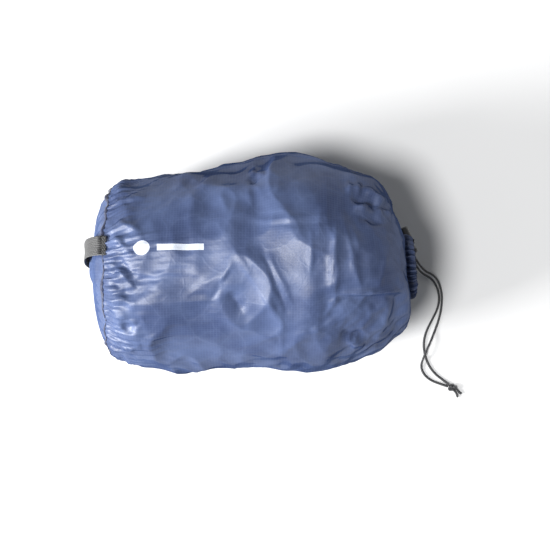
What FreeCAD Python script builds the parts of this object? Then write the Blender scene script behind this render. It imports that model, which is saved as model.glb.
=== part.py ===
import FreeCAD, Part
import math
import os

# A drawcord stuff sack lying on its side, packed full.
# +X runs from the base to the mouth, +Z is up, and the floor is at Z = 0.
# All lengths are in millimetres.

Vector = FreeCAD.Vector
doc = FreeCAD.newDocument("StuffSack")

# ---------------------------------------------------------------- dimensions

DIMENSIONS = {
    # cloth and contents
    "cloth": 1.0,               # modelled thickness of the cloth layers
    "load_gap": 1.2,            # room between the cloth and the packed load
    "load_end_x": 160.0,        # the load stops short of the mouth
    "load_bulge_reach": 13.0,   # but bulges into the gathered ring
    "load_bulge_radius": 18.5,
    # base end
    "base_x": -154.0,           # plane of the base seam
    "base_centre_y": -8.0,
    "base_centre_z": 112.0,
    "base_half_width": 92.0,
    "base_half_height": 90.0,
    "base_bulge": 21.0,         # how far the base panel domes past its seam
    "block_start": 300.0,       # how far behind the middle the trimming blocks begin
    "binding_width": 8.0,
    "binding_thick": 1.2,
    # side seam
    "seam_thick": 0.8,
    "seam_width": 8.0,
    "seam_low_z": 124.0,
    "seam_start_x": -150.0,
    "seam_end_x": 150.0,
    # mouth
    "mouth_x": 172.0,           # plane of the gathered hem ring
    "mouth_y": -3.5,
    "mouth_z": 112.0,
    "hem_radius": 28.0,         # ring of the hem channel
    "hem_fold": 8.0,            # half width of the folded channel
    "hem_clear": 0.05,
    "hem_room_length": 14.0,    # the body panel is trimmed to the hem along this length
    "channel_bore": 2.7,
    # drawcord
    "cord_radius": 1.25,
    "cord_ring": 31.0,          # radius of the loop inside the channel
    "cord_pair_half": 1.45,     # each strand's distance from the pair's middle
    "cord_exit_z": 92.0,        # where the strands leave the hem
    "exit_hole_radius": 3.2,
    # grab handle
    "web_width": 20.0,
    "web_thick": 1.6,
    "web_reach": 29.0,          # inside of the loop, out from the base seam
    "web_half_span": 91.0,      # inside of the loop, along the webbing
    "web_y": 7.0,
    "web_centre_drop": 0.8,
    "web_tilt": 6.7,            # degrees, top end towards +Y
    "web_free_half": 68.0,      # the free stretch; beyond it the ends are sewn
    "web_split": 0.3,
    # cord lock
    "lock_z": 74.0,
    "barrel_radius": 6.5,
    "barrel_back": 14.0,        # closed end, measured from the cord hole
    "barrel_front": 8.0,        # open end
    "barrel_wall": 1.5,
    "barrel_edge": 2.2,
    "plunger_play": 0.08,
    "plunger_back": 4.0,
    "plunger_neck_end": 13.5,
    "head_radius": 6.0,
    "head_thick": 4.5,
    "head_edge": 1.8,
    "slot_half_width": 3.3,
    "slot_half_length": 2.2,
    "plunger_slot_back": 1.6,
    "plunger_slot_front": 7.0,
    # lock spring
    "spring_radius": 3.2,
    "spring_wire": 0.35,
    "spring_pitch": 1.9,
    "spring_clear": 0.15,
    # knot and stitches
    "knot_radius": 4.0,
    "knot_length": 5.0,
    "tail_length": 6.5,
    "thread_radius": 0.35,
}

# Cross sections of the packed sack, base to mouth. Each is an ellipse:
# x, centre y, centre z, half width, half height.
RIBS = [
    (-154.0, -8.0, 112.0, 92.0, 90.0),
    (-136.0, -11.5, 112.0, 102.5, 101.0),
    (-110.0, -11.5, 109.5, 108.5, 108.0),
    (-75.0, -8.8, 106.5, 112.3, 111.5),
    (-37.0, -3.3, 106.0, 112.8, 112.0),
    (16.0, 2.0, 107.0, 117.0, 114.0),
    (45.0, 2.2, 108.0, 119.2, 115.0),
    (75.0, -1.5, 108.5, 114.5, 113.0),
    (108.0, -1.0, 110.0, 107.0, 106.0),
    (135.0, -4.2, 112.0, 94.2, 91.0),
    (155.0, -12.0, 112.0, 63.0, 61.0),
    (171.0, -3.5, 112.0, 35.0, 35.0),
]


def make_sheet():
    """Put every driving dimension in a named cell of the spreadsheet."""
    page = doc.addObject("Spreadsheet::Sheet", "Dimensions")
    cells = dict(DIMENSIONS)
    for number, (x, cy, cz, half_width, half_height) in enumerate(RIBS):
        cells[f"rib_{number}_x"] = x
        cells[f"rib_{number}_cy"] = cy
        cells[f"rib_{number}_cz"] = cz
        cells[f"rib_{number}_half_width"] = half_width
        cells[f"rib_{number}_half_height"] = half_height
    for row, (alias, value) in enumerate(cells.items(), start=1):
        page.set(f"A{row}", alias)
        page.set(f"B{row}", str(value))
        page.setAlias(f"B{row}", alias)
    doc.recompute()
    return page


sheet = make_sheet()


def size(alias):
    """Read one driving dimension from the spreadsheet."""
    return float(sheet.get(alias))


def bind(thing, **formulas):
    """Bind properties to formulas; names of cells in them are spreadsheet aliases."""
    for name, formula in formulas.items():
        words = formula.split()
        parts = [f"Dimensions.{word}" if word in ALIASES else word for word in words]
        thing.setExpression(name.replace("__", "."), " ".join(parts))
    return thing


ALIASES = {sheet.get(f"A{row}") for row in range(1, len(DIMENSIONS) + 5 * len(RIBS) + 1)}
SUBPARTS = []
STITCH_CLEARANCE = 6.0


def label(thing, name):
    """Give a finished sub-part its name, which is also its file's name."""
    thing.Label = name
    SUBPARTS.append(thing)
    return thing


def primitive(kind, name, **formulas):
    """Add one Part primitive with its sizes bound to the sheet."""
    return bind(doc.addObject(kind, name), **formulas)


def move(thing, x="0", y="0", z="0"):
    """Bind a placement's position to the sheet."""
    return bind(thing, Placement__Base__x=x, Placement__Base__y=y, Placement__Base__z=z)


def turn(thing, rotation):
    thing.Placement = FreeCAD.Placement(thing.Placement.Base, rotation)
    return thing


def cut(name, base, tool):
    result = doc.addObject("Part::Cut", name)
    result.Base = base
    result.Tool = tool
    return result


def common(name, base, tool):
    result = doc.addObject("Part::Common", name)
    result.Base = base
    result.Tool = tool
    return result


def fuse(name, *pieces):
    result = doc.addObject("Part::MultiFuse", name)
    result.Shapes = list(pieces)
    return result


def axes(x_axis, y_axis, z_axis):
    """The rotation that takes the local axes to the given directions."""
    return FreeCAD.Rotation(Vector(*x_axis), Vector(*y_axis), Vector(*z_axis), "ZXY")


ACROSS = axes((0, 1, 0), (0, 0, 1), (1, 0, 0))      # a flat shape turned to face +X
OUT_OF_BASE = axes((0, 0, 1), (0, 1, 0), (-1, 0, 0))  # local Z points out of the base

# ---------------------------------------------------------------- the packed shape


def packed_loft(name, grow):
    """The sack's packed outline, each rib made larger by grow (negative: smaller)."""
    sections = []
    for number in range(len(RIBS)):
        rib = primitive(
            "Part::Ellipse",
            f"{name}_rib_{number}",
            MajorRadius=f"rib_{number}_half_width + {grow}",
            MinorRadius=f"rib_{number}_half_height + {grow}",
        )
        turn(rib, ACROSS)
        move(rib, f"rib_{number}_x", f"rib_{number}_cy", f"rib_{number}_cz")
        sections.append(rib)
    loft = doc.addObject("Part::Loft", f"{name}_loft")
    loft.Sections = sections
    loft.Solid = True
    loft.Ruled = False
    return loft


def above_floor(name, clearance, end_x="mouth_x"):
    """A large block whose underside lies a clearance above the floor."""
    block = primitive("Part::Box", name, Length=f"block_start + {end_x}")
    block.Width = 400
    block.Height = 400
    return move(block, "0 - block_start", "0 - 200", clearance)


def base_dome(name, grow):
    """Half an ellipsoid that stands out of the base seam's plane."""
    dome = primitive(
        "Part::Ellipsoid",
        name,
        Radius1=f"base_bulge + {grow}",
        Radius2=f"base_half_height + {grow}",
        Radius3=f"base_half_width + {grow}",
    )
    dome.Angle1 = 0
    turn(dome, OUT_OF_BASE)
    return move(dome, "base_x", "base_centre_y", "base_centre_z")


def hem_ring(name, tube):
    """A ring in the mouth's plane, at the hem's radius."""
    ring = primitive("Part::Torus", name, Radius1="hem_radius", Radius2=tube)
    turn(ring, ACROSS)
    return move(ring, "mouth_x", "mouth_y", "mouth_z")


def body_panel():
    outer = common(
        "body_outer", packed_loft("outer", "0"), above_floor("outer_floor", "0")
    )
    inner = common(
        "body_inner", packed_loft("inner", "0 - cloth"), above_floor("inner_floor", "cloth")
    )
    tube = cut("body_tube", outer, inner)
    hem_room = primitive(
        "Part::Cylinder", "hem_room", Radius="hem_radius + hem_fold + hem_clear", Height="hem_room_length"
    )
    turn(hem_room, ACROSS)
    move(hem_room, "mouth_x - hem_fold", "mouth_y", "mouth_z")
    trimmed = cut("body_trimmed", tube, hem_room)
    return label(cut("body", trimmed, exit_hole("body_exit_hole")), "body_panel")


def base_panel():
    shell = cut("base", base_dome("base_outer", "0"), base_dome("base_inner", "0 - cloth"))
    return label(shell, "base_panel")


def binding_ring(name, grow):
    """An elliptical band just inside the base seam."""
    rims = []
    for side, inset in (("outer", "0"), ("inner", "binding_thick")):
        rim = primitive(
            "Part::Ellipse",
            f"{name}_{side}_rim",
            MajorRadius=f"base_half_width - cloth - 0.6 - {inset} + {grow}",
            MinorRadius=f"base_half_height - cloth - 0.6 - {inset} + {grow}",
        )
        turn(rim, ACROSS)
        move(rim, "base_x + 0.5", "base_centre_y", "base_centre_z")
        drum = doc.addObject("Part::Extrusion", f"{name}_{side}_drum")
        drum.Base = rim
        drum.DirMode = "Custom"
        drum.Dir = Vector(1, 0, 0)
        drum.Solid = True
        bind(drum, LengthFwd="binding_width")
        rims.append(drum)
    return cut(name, *rims)


def base_seam_binding():
    return label(binding_ring("binding", "0"), "base_seam_binding")


def packed_load():
    """The soft contents: they fill the sack, a small gap inside the cloth."""
    inside = "0 - cloth - load_gap - binding_thick"
    filled = fuse(
        "load_filled",
        packed_loft("load", inside),
        base_dome("load_dome", inside),
    )
    block = above_floor("load_floor", "cloth + load_gap", "load_end_x")
    resting = common("load_resting", filled, block)
    bulge = primitive(
        "Part::Ellipsoid",
        "load_mouth_bulge",
        Radius1="load_bulge_reach",
        Radius2="load_bulge_radius",
        Radius3="load_bulge_radius",
    )
    turn(bulge, ACROSS)
    move(bulge, "mouth_x - 1 - load_bulge_reach", "mouth_y", "mouth_z")
    return label(fuse("load", resting, bulge), "packed_load")


def side_seam():
    """The felled seam: a low strip on the sack's +Y flank, base to mouth."""
    raised = packed_loft("raised", "seam_thick")
    layer = cut("seam_layer", raised, packed_loft("seam_bed", "0"))
    strip = primitive(
        "Part::Box",
        "seam_strip",
        Length="seam_end_x - seam_start_x",
        Height="seam_width",
    )
    strip.Width = 200
    move(strip, "seam_start_x", "0", "seam_low_z")
    return label(common("seam", layer, strip), "side_seam")

# ---------------------------------------------------------------- mouth


def lock_axes():
    """Directions of the cord lock: across the strands' pair, up the cord, along the plunger."""
    slope = math.radians(25.5)
    pair = (math.cos(slope), math.sin(slope), 0)
    press = (math.sin(slope), -math.cos(slope), 0)
    return pair, (0, 0, 1), press


PAIR_AXIS, CORD_AXIS, PRESS_AXIS = lock_axes()


def cord_leg(name, side, radius, low, high):
    """An upright cylinder where one strand runs, side -1 or +1 of the pair's middle."""
    leg = primitive("Part::Cylinder", name, Radius=radius, Height=f"{high} - ( {low} )")
    reach = f"{side} * cord_pair_half"
    return move(
        leg,
        f"mouth_x + {PAIR_AXIS[0]} * {reach}",
        f"mouth_y + cord_ring + {PAIR_AXIS[1]} * {reach}",
        low,
    )


def exit_hole(name):
    """The upright hole in the hem where both strands leave it."""
    return cord_leg(name, "0", "exit_hole_radius", "cord_exit_z - 12", "mouth_z")


def hem_channel():
    """The gathered hem: a folded ring of cloth with the cord's channel in it."""
    ring = hem_ring("hem_solid_ring", "hem_fold")
    bore = primitive("Part::Torus", "channel_ring", Radius1="cord_ring", Radius2="channel_bore")
    turn(bore, ACROSS)
    move(bore, "mouth_x", "mouth_y", "mouth_z")
    channel = fuse("channel", bore, exit_hole("hem_exit_hole"))
    return label(cut("hem", ring, channel), "hem_channel")


def drawcord_loop():
    """The part of the cord inside the channel, with both ends turned down to the exit."""
    ring = primitive("Part::Torus", "cord_ring_tube", Radius1="cord_ring", Radius2="cord_radius")
    turn(ring, ACROSS)
    move(ring, "mouth_x", "mouth_y", "mouth_z")
    legs = [
        cord_leg(f"loop_leg_{side}", sign, "cord_radius", "cord_exit_z", "mouth_z")
        for side, sign in (("near", "0 - 1"), ("far", "1"))
    ]
    return label(fuse("loop", ring, *legs), "drawcord_loop")


def cord_exit():
    """The middle of the hole where the strands leave the hem."""
    return Vector(size("mouth_x"), size("mouth_y") + size("cord_ring"), size("cord_exit_z"))


def thread_stitch(middle, along, length):
    """One stitch: a short straight piece of thread."""
    radius = size("thread_radius")
    start = middle - along * (length / 2)
    return Part.makeCylinder(radius, length, start, along)


def ring_of_stitches(name, x, centre_y, centre_z, half_width, half_height, length, pitch, keep_off):
    """Separate stitches round an ellipse that faces +X, none of them near keep_off."""
    around = math.pi * (half_width + half_height)
    count = int(around / pitch)
    stitches = []
    for number in range(count):
        angle = 2 * math.pi * number / count
        middle = Vector(
            x,
            centre_y + half_width * math.cos(angle),
            centre_z + half_height * math.sin(angle),
        )
        along = Vector(0, -half_width * math.sin(angle), half_height * math.cos(angle))
        if middle.distanceToPoint(keep_off) > STITCH_CLEARANCE:
            stitches.append(thread_stitch(middle, along.normalize(), length))
    thread = doc.addObject("Part::Feature", name)
    thread.Shape = Part.makeCompound(stitches)
    return label(thread, name)


def base_seam_stitching():
    lift = size("thread_radius") + 0.25
    return ring_of_stitches(
        "base_seam_stitching",
        size("base_x"),
        size("base_centre_y"),
        size("base_centre_z"),
        size("base_half_width") + lift,
        size("base_half_height") + lift,
        3.6,
        5.5,
        cord_exit(),
    )


def hem_stitching():
    radius = size("hem_radius") + size("hem_fold") + size("thread_radius") + 0.12
    return ring_of_stitches(
        "hem_stitching",
        size("mouth_x") + 1.0,
        size("mouth_y"),
        size("mouth_z"),
        radius,
        radius,
        2.4,
        4.0,
        cord_exit(),
    )


def cord_exit_bartacks():
    """Two dense bars of thread, one each side of the hole where the cord leaves the hem."""
    bars = []
    down = math.atan2(size("mouth_z") - size("cord_exit_z") + 2, size("cord_ring"))
    reach = size("hem_radius") + size("hem_fold") * 0.8
    outward = Vector(0, math.cos(down), -math.sin(down))
    for side in (-1, 1):
        ring_point = Vector(size("mouth_x"), size("mouth_y"), size("mouth_z")) + outward * reach
        lean = Vector(side * 0.66, 0, 0) + outward * 0.75
        middle = ring_point + Vector(side * 5.3, 0, 0) + lean * 0.75
        bar = Part.makeBox(7.0, 1.4, 0.7, Vector(-3.5, -0.7, -0.35))
        along = Vector(0, math.sin(down), math.cos(down))
        bar.Placement = FreeCAD.Placement(
            middle, FreeCAD.Rotation(along, Vector(), lean, "ZXY")
        )
        bars.append(bar)
    tacks = doc.addObject("Part::Feature", "cord_exit_bartacks")
    tacks.Shape = Part.makeCompound(bars)
    return label(tacks, "cord_exit_bartacks")

# ---------------------------------------------------------------- grab handle


def handle_rotation():
    """Local X along the webbing, local Y out of the base, local Z across the webbing."""
    tilt = math.radians(size("web_tilt"))
    return axes(
        (0, math.sin(tilt), math.cos(tilt)),
        (-1, 0, 0),
        (0, -math.cos(tilt), math.sin(tilt)),
    )


HANDLE_TURN = handle_rotation()


def place_on_base(thing):
    turn(thing, HANDLE_TURN)
    return move(thing, "base_x", "web_y", "base_centre_z - web_centre_drop")


def webbing_band(name):
    """The whole webbing as half of an elliptical band, as wide as the webbing."""
    drums = []
    for side, grow in (("outer", "web_thick"), ("inner", "0")):
        rim = primitive(
            "Part::Ellipse",
            f"{name}_{side}_rim",
            MajorRadius=f"web_half_span + {grow}",
            MinorRadius=f"web_reach + {grow}",
        )
        place_on_base(rim)
        drum = doc.addObject("Part::Extrusion", f"{name}_{side}_drum")
        drum.Base = rim
        drum.DirMode = "Custom"
        drum.Dir = HANDLE_TURN.multVec(Vector(0, 0, 1))
        drum.Solid = True
        drum.Symmetric = True
        bind(drum, LengthFwd="web_width")
        drums.append(drum)
    return cut(name, *drums)


def handle_stretch(name, start, end):
    """The webbing between two distances along it, measured from its middle."""
    band = webbing_band(f"{name}_band")
    window = primitive("Part::Box", f"{name}_window", Length=f"{end} - ( {start} )")
    window.Width = 60
    window.Height = 60
    turn(window, HANDLE_TURN)
    corner = HANDLE_TURN.multVec(Vector(1, 0, 0))
    side = HANDLE_TURN.multVec(Vector(0, 0, -30))
    rise = HANDLE_TURN.multVec(Vector(0, 0.8, 0))
    move(
        window,
        f"base_x + {corner.x} * ( {start} ) + {side.x} + {rise.x}",
        f"web_y + {corner.y} * ( {start} ) + {side.y} + {rise.y}",
        f"base_centre_z - web_centre_drop + {corner.z} * ( {start} ) + {side.z} + {rise.z}",
    )
    return label(common(f"{name}_web", band, window), name)


def grab_handle():
    return handle_stretch("grab_handle", "0 - web_free_half", "web_free_half")


def handle_ends():
    lower = handle_stretch("handle_end_lower", "0 - 110", "0 - web_free_half - web_split")
    upper = handle_stretch("handle_end_upper", "web_free_half + web_split", "110")
    return lower, upper


def handle_bartacks():
    """Two bars of thread across each sewn end of the webbing."""
    bars = []
    reach = size("web_reach") + size("web_thick")
    half_span = size("web_half_span") + size("web_thick")
    origin = Vector(
        size("base_x"), size("web_y"), size("base_centre_z") - size("web_centre_drop")
    )
    for end in (-1, 1):
        for angle_degrees in (60, 67):
            angle = math.radians(angle_degrees)
            flat = Vector(end * math.sin(angle) * half_span, math.cos(angle) * reach, 0)
            normal = Vector(flat.x / half_span ** 2, flat.y / reach ** 2, 0)
            middle = flat + normal.normalize() * 0.45
            bar = Part.makeBox(16.0, 1.6, 0.7, Vector(-8.0, -0.8, -0.35))
            local = FreeCAD.Rotation(Vector(0, 0, 1), Vector(), normal, "ZXY")
            spot = origin + HANDLE_TURN.multVec(middle)
            bar.Placement = FreeCAD.Placement(spot, HANDLE_TURN.multiply(local))
            bars.append(bar)
    tacks = doc.addObject("Part::Feature", "handle_bartacks")
    tacks.Shape = Part.makeCompound(bars)
    return label(tacks, "handle_bartacks")

# ---------------------------------------------------------------- cord lock

LOCK_TURN = axes(PAIR_AXIS, CORD_AXIS, PRESS_AXIS)


def on_lock(thing, along):
    """Place a piece in the lock's own axes, a distance along the plunger's axis."""
    turn(thing, LOCK_TURN)
    return move(
        thing,
        f"mouth_x + {PRESS_AXIS[0]} * ( {along} )",
        f"mouth_y + cord_ring + {PRESS_AXIS[1]} * ( {along} )",
        "lock_z",
    )


def lock_cylinder(name, radius, start, end):
    rod = primitive("Part::Cylinder", name, Radius=radius, Height=f"{end} - ( {start} )")
    return on_lock(rod, start)


def cord_slot(name, start, end):
    """The hole for both strands, right through the lock along the cord."""
    slot = primitive(
        "Part::Box",
        name,
        Length="2 * slot_half_width",
        Height=f"{end} - ( {start} )",
    )
    slot.Width = 40
    turn(slot, LOCK_TURN)
    return move(
        slot,
        f"mouth_x + {PRESS_AXIS[0]} * ( {start} ) - {PAIR_AXIS[0]} * slot_half_width",
        f"mouth_y + cord_ring + {PRESS_AXIS[1]} * ( {start} ) - {PAIR_AXIS[1]} * slot_half_width",
        "lock_z - 20",
    )


def rounded(name, base, radius_alias, radius, wanted):
    """Fillet the edges of base that the wanted test picks by their middle."""
    doc.recompute()
    result = doc.addObject("Part::Fillet", name)
    result.Base = base
    picked = [
        (number, radius, radius)
        for number, edge in enumerate(base.Shape.Edges, start=1)
        if wanted(edge)
    ]
    result.Edges = picked
    return result


def along_plunger(point):
    """How far a point lies along the plunger's axis from the cord hole."""
    hole = Vector(size("mouth_x"), size("mouth_y") + size("cord_ring"), size("lock_z"))
    return (point - hole).dot(Vector(*PRESS_AXIS))


def round_edge_at(distance):
    """A test for the full circular edge at a distance along the plunger's axis."""
    def wanted(edge):
        is_circle = edge.Curve.TypeId == "Part::GeomCircle"
        return is_circle and abs(along_plunger(edge.CenterOfMass) - distance) < 0.01
    return wanted


def cord_lock_barrel():
    shell = lock_cylinder("barrel_outside", "barrel_radius", "0 - barrel_back", "barrel_front")
    closed_end = round_edge_at(-size("barrel_back"))
    shell = rounded("barrel_rounded", shell, "barrel_edge", size("barrel_edge"), closed_end)
    bore = lock_cylinder(
        "barrel_bore",
        "barrel_radius - barrel_wall",
        "0 - barrel_back + barrel_wall",
        "barrel_front + 1",
    )
    slot = cord_slot("barrel_slot", "0 - slot_half_length", "slot_half_length")
    return label(cut("barrel", cut("barrel_cup", shell, bore), slot), "cord_lock_barrel")


def cord_lock_plunger():
    neck = lock_cylinder(
        "plunger_neck",
        "barrel_radius - barrel_wall - plunger_play",
        "0 - plunger_back",
        "plunger_neck_end",
    )
    head = lock_cylinder(
        "plunger_head_blank", "head_radius", "plunger_neck_end", "plunger_neck_end + head_thick"
    )
    tip = round_edge_at(size("plunger_neck_end") + size("head_thick"))
    head = rounded("plunger_head", head, "head_edge", size("head_edge"), tip)
    slot = cord_slot("plunger_slot", "0 - plunger_slot_back", "plunger_slot_front")
    return label(cut("plunger", fuse("plunger_solid", neck, head), slot), "cord_lock_plunger")


def cord_lock_spring():
    """A small compression spring between the barrel's closed end and the plunger."""
    low = "0 - barrel_back + barrel_wall + spring_wire + spring_clear"
    high = "0 - plunger_back - spring_wire - spring_clear"
    coil = primitive(
        "Part::Helix",
        "spring_line",
        Pitch="spring_pitch",
        Height=f"{high} - ( {low} )",
        Radius="spring_radius",
        SegmentLength="1",          # one face to each turn
    )
    wire = primitive("Part::Circle", "spring_wire_section", Radius="spring_wire")
    wire.Placement = FreeCAD.Placement(
        Vector(size("spring_radius"), 0, 0), FreeCAD.Rotation(Vector(1, 0, 0), 90)
    )
    spring = doc.addObject("Part::Sweep", "spring")
    spring.Sections = [wire]
    spring.Spine = (coil, [])
    spring.Solid = True
    spring.Frenet = True
    on_lock(spring, low)
    return label(spring, "cord_lock_spring")

# ---------------------------------------------------------------- free cord

KNOT_MIDDLE = (232.0, -145.6, 4.2)

# The outer strand: out of the hem, straight down through the lock, out in front of
# the mouth to the floor, over the other strand and on to the knot.
OUTER_ROUTE = [
    (213.0, -13.5, 4.5),
    (220.5, -32.0, 1.5),
    (220.2, -50.0, 1.5),
    (216.8, -65.5, 1.5),
    (211.5, -80.0, 1.5),
    (206.2, -92.0, 6.2),
    (202.0, -100.5, 7.6),
    (198.0, -110.0, 7.4),
    (195.3, -120.0, 1.9),
    (198.2, -129.0, 1.5),
    (205.5, -136.0, 1.5),
    (215.5, -140.5, 1.5),
    (227.6, -144.3, 3.2),
]

# The inner strand: beside the outer one to where they part, then under it.
INNER_ROUTE = [
    (209.2, -17.0, 4.0),
    (217.2, -33.0, 1.5),
    (216.8, -49.5, 1.5),
    (208.6, -66.0, 1.5),
    (201.8, -79.0, 1.5),
    (198.6, -92.0, 1.5),
    (199.4, -104.0, 1.5),
    (202.4, -114.0, 1.5),
    (207.2, -123.5, 1.5),
    (214.2, -131.2, 1.5),
    (221.6, -136.6, 1.6),
    (228.6, -142.2, 3.2),
]
LANDING = {1: (194.6, -6.5, 17.0), -1: (191.4, -9.0, 16.5)}
TURN_Z = 44.0


def strand_start(side):
    """The upright first run of a strand: side +1 is the outer one, -1 the inner one."""
    reach = side * size("cord_pair_half")
    x = size("mouth_x") + PAIR_AXIS[0] * reach
    y = size("mouth_y") + size("cord_ring") + PAIR_AXIS[1] * reach
    return [(x, y, size("cord_exit_z")), (x, y, TURN_Z), LANDING[side]]


def rounded_path(points, name):
    """Straight runs joined by arcs, each as large as its two runs allow."""
    corners = [Vector(*point) for point in points]
    edges = []
    at = corners[0]
    smallest = 1000.0
    for before, corner, after in zip(corners, corners[1:], corners[2:]):
        arriving = (corner - before).normalize()
        leaving = (after - corner).normalize()
        half_turn = arriving.getAngle(leaving) / 2
        back = 0.45 * min((corner - before).Length, (after - corner).Length)
        radius = back / math.tan(half_turn)
        smallest = min(smallest, radius)
        start = corner - arriving * back
        end = corner + leaving * back
        inward = (leaving - arriving).normalize()
        middle = corner + inward * (radius / math.cos(half_turn) - radius)
        edges.append(Part.LineSegment(at, start).toShape())
        edges.append(Part.Arc(start, middle, end).toShape())
        at = end
    edges.append(Part.LineSegment(at, corners[-1]).toShape())
    path = Part.Wire(edges)
    print(f"{name}: length {path.Length:.1f}, smallest radius {smallest:.1f}")
    return path


def cord_tube(name, points):
    """A round cord along a path, its volume compared with its section times its length."""
    path = rounded_path(points, name)
    radius = size("cord_radius")
    along = Vector(*points[1]) - Vector(*points[0])
    section = Part.Wire(Part.Circle(Vector(*points[0]), along, radius).toShape())
    tube = path.makePipeShell([section], True, False)
    expected = math.pi * radius ** 2 * path.Length
    print(f"{name}: volume {tube.Volume:.0f}, section times length {expected:.0f}")
    strand = doc.addObject("Part::Feature", name)
    strand.Shape = tube
    return label(strand, name)


def drawcord_strands():
    outer = cord_tube("drawcord_strand_outer", strand_start(1) + OUTER_ROUTE)
    inner = cord_tube("drawcord_strand_inner", strand_start(-1) + INNER_ROUTE)
    return outer, inner


def cord_knot():
    """The overhand knot that ties both strands, as its outer shape."""
    knot = primitive(
        "Part::Ellipsoid", "knot", Radius1="knot_length", Radius2="knot_radius", Radius3="knot_radius"
    )
    turn(knot, FreeCAD.Rotation(Vector(0, 0, 1), Vector(7, -6.3, 0)))
    knot.Placement.Base = Vector(*KNOT_MIDDLE)
    return label(knot, "cord_knot")


def cord_tails():
    """The two cut ends beyond the knot."""
    tails = []
    for spread in (-0.24, 0.2):
        heading = math.radians(-42) + spread
        along = Vector(math.cos(heading), math.sin(heading), -0.22).normalize()
        start = Vector(*KNOT_MIDDLE) + along * (size("knot_length") - 0.8)
        start += Vector(-math.sin(heading), math.cos(heading), 0) * spread * 6
        tails.append(Part.makeCylinder(size("cord_radius"), size("tail_length"), start, along))
    ends = doc.addObject("Part::Feature", "cord_tails")
    ends.Shape = Part.makeCompound(tails)
    return label(ends, "cord_tails")

# ---------------------------------------------------------------- build and write


def check_model():
    """Stop if any object failed, or any sub-part is missing or not valid."""
    doc.recompute()
    for thing in doc.Objects:
        if "Invalid" in thing.State or "Error" in thing.State:
            raise RuntimeError(f"{thing.Label} failed: {thing.State}")
    for subpart in SUBPARTS:
        shape = subpart.Shape
        if shape.isNull() or not shape.isValid() or shape.Volume <= 0:
            raise RuntimeError(f"{subpart.Label} has no valid solid")


def write_parts():
    os.makedirs("parts", exist_ok=True)
    whole = FreeCAD.BoundBox()
    for subpart in SUBPARTS:
        subpart.Shape.exportStep(f"parts/{subpart.Label}.step")
        solids = len(subpart.Shape.Solids)
        print(f"{subpart.Label}: {solids} solid(s), {subpart.Shape.Volume:.0f} mm3")
        if not subpart.Label.startswith(("drawcord_strand", "cord_knot", "cord_tails")):
            whole.add(subpart.Shape.BoundBox)
    print("box without the free cord:", whole)


body_panel()
base_panel()
base_seam_binding()
packed_load()
side_seam()
hem_channel()
drawcord_loop()
base_seam_stitching()
hem_stitching()
cord_exit_bartacks()
grab_handle()
handle_ends()
handle_bartacks()
cord_lock_barrel()
cord_lock_plunger()
cord_lock_spring()
drawcord_strands()
cord_knot()
cord_tails()
check_model()
write_parts()
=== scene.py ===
from math import atan2, cos, exp, hypot, pi, radians, sin

import bmesh
import bpy
import numpy as np
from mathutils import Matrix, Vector, noise
from mathutils.bvhtree import BVHTree


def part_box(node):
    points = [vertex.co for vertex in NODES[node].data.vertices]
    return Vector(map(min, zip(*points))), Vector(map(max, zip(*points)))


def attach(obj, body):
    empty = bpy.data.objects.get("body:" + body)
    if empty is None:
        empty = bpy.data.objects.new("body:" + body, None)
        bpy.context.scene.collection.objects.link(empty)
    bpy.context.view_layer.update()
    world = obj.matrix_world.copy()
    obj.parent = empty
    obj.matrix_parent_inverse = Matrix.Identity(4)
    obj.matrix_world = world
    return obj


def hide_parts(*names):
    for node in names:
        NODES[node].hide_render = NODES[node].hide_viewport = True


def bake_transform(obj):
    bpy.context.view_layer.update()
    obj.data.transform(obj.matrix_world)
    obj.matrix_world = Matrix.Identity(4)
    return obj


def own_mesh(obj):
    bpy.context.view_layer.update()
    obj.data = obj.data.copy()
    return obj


# A stuffed drawcord sack lying on its side, in metres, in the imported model's frame:
# +X from the base to the mouth, +Y across, +Z up, the floor at Z = 0.

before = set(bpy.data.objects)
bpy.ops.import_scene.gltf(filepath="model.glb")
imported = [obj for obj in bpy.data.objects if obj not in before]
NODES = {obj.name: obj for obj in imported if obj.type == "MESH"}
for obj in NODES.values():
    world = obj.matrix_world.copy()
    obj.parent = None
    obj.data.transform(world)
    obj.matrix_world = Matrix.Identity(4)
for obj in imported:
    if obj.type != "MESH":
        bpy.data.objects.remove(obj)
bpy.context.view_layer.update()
MM = 0.001

# ---- sizes from the frame

BASE_LOW, BASE_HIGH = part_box("base_panel")
HEM_LOW, HEM_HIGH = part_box("hem_channel")
HANDLE_LOW, HANDLE_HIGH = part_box("grab_handle")

SEAM_X = BASE_HIGH[0]
BASE_CENTRE = Vector((SEAM_X, (BASE_LOW[1] + BASE_HIGH[1]) / 2, (BASE_LOW[2] + BASE_HIGH[2]) / 2))
BASE_HALF_WIDTH = (BASE_HIGH[1] - BASE_LOW[1]) / 2
BASE_HALF_HEIGHT = (BASE_HIGH[2] - BASE_LOW[2]) / 2
BASE_BULGE = SEAM_X - BASE_LOW[0]

HEM_X = (HEM_LOW[0] + HEM_HIGH[0]) / 2
MOUTH = Vector((HEM_X, (HEM_LOW[1] + HEM_HIGH[1]) / 2, (HEM_LOW[2] + HEM_HIGH[2]) / 2))
HEM_OUTER = (HEM_HIGH[1] - HEM_LOW[1]) / 2
STITCH_X = HEM_X - 0.0045

# ---- small helpers


def placed(name, data):
    """An object with this data, put into the scene."""
    thing = bpy.data.objects.new(name, data)
    bpy.context.scene.collection.objects.link(thing)
    return thing


def shade_smooth(mesh):
    mesh.polygons.foreach_set("use_smooth", [True] * len(mesh.polygons))


def mesh_object(name, points, faces):
    """A smooth mesh object from points and faces."""
    mesh = bpy.data.meshes.new(name)
    mesh.from_pydata([tuple(p) for p in points], [], faces)
    mesh.update()
    shade_smooth(mesh)
    return placed(name, mesh)


def angles_round(count):
    """Evenly spaced angles once round, from 0."""
    return [2 * pi * number / count for number in range(count)]


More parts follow.
